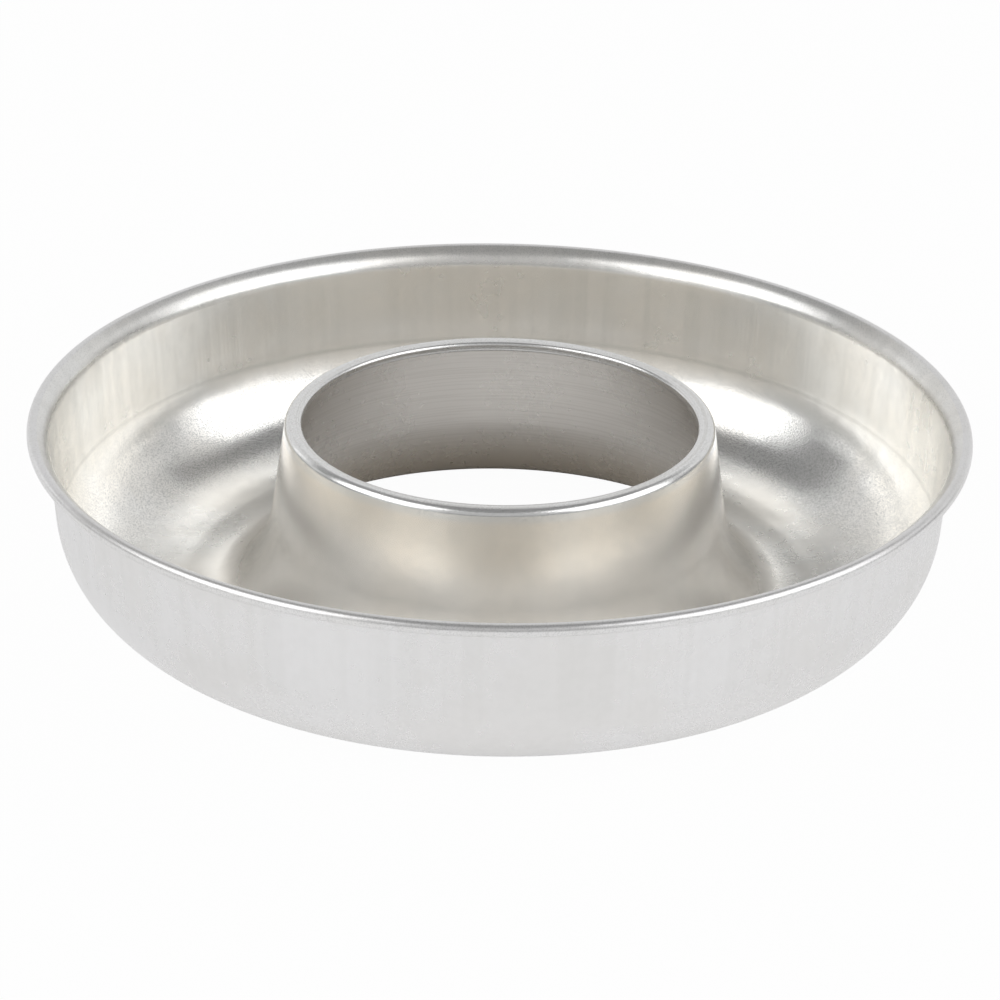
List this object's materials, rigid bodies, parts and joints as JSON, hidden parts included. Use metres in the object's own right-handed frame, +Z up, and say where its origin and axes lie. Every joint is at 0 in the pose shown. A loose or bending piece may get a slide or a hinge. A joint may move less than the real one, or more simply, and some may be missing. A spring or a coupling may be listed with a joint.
{
  "type": "savarin mould",
  "caption": "Ring-shaped savarin baking mould drawn from satin aluminium sheet, with a round-bottomed trough, an open centre chimney and edges rolled over wire.",
  "frame": {"origin": "centre of the ring on the plane that the flat base rests on", "axes": "+Z up along the ring's axis; the mould is round, so X and Y are interchangeable"},
  "size_m": [0.26, 0.26, 0.0526],
  "materials": {
    "shell_aluminium": "satin, as drawn, with fine grain and faint draw lines",
    "wire_steel": "plain drawn wire"
  },
  "bodies": {
    "root": {"mould_shell": "shell_aluminium", "rim_wire": "wire_steel", "chimney_wire": "wire_steel"}
  },
  "joints": []
}
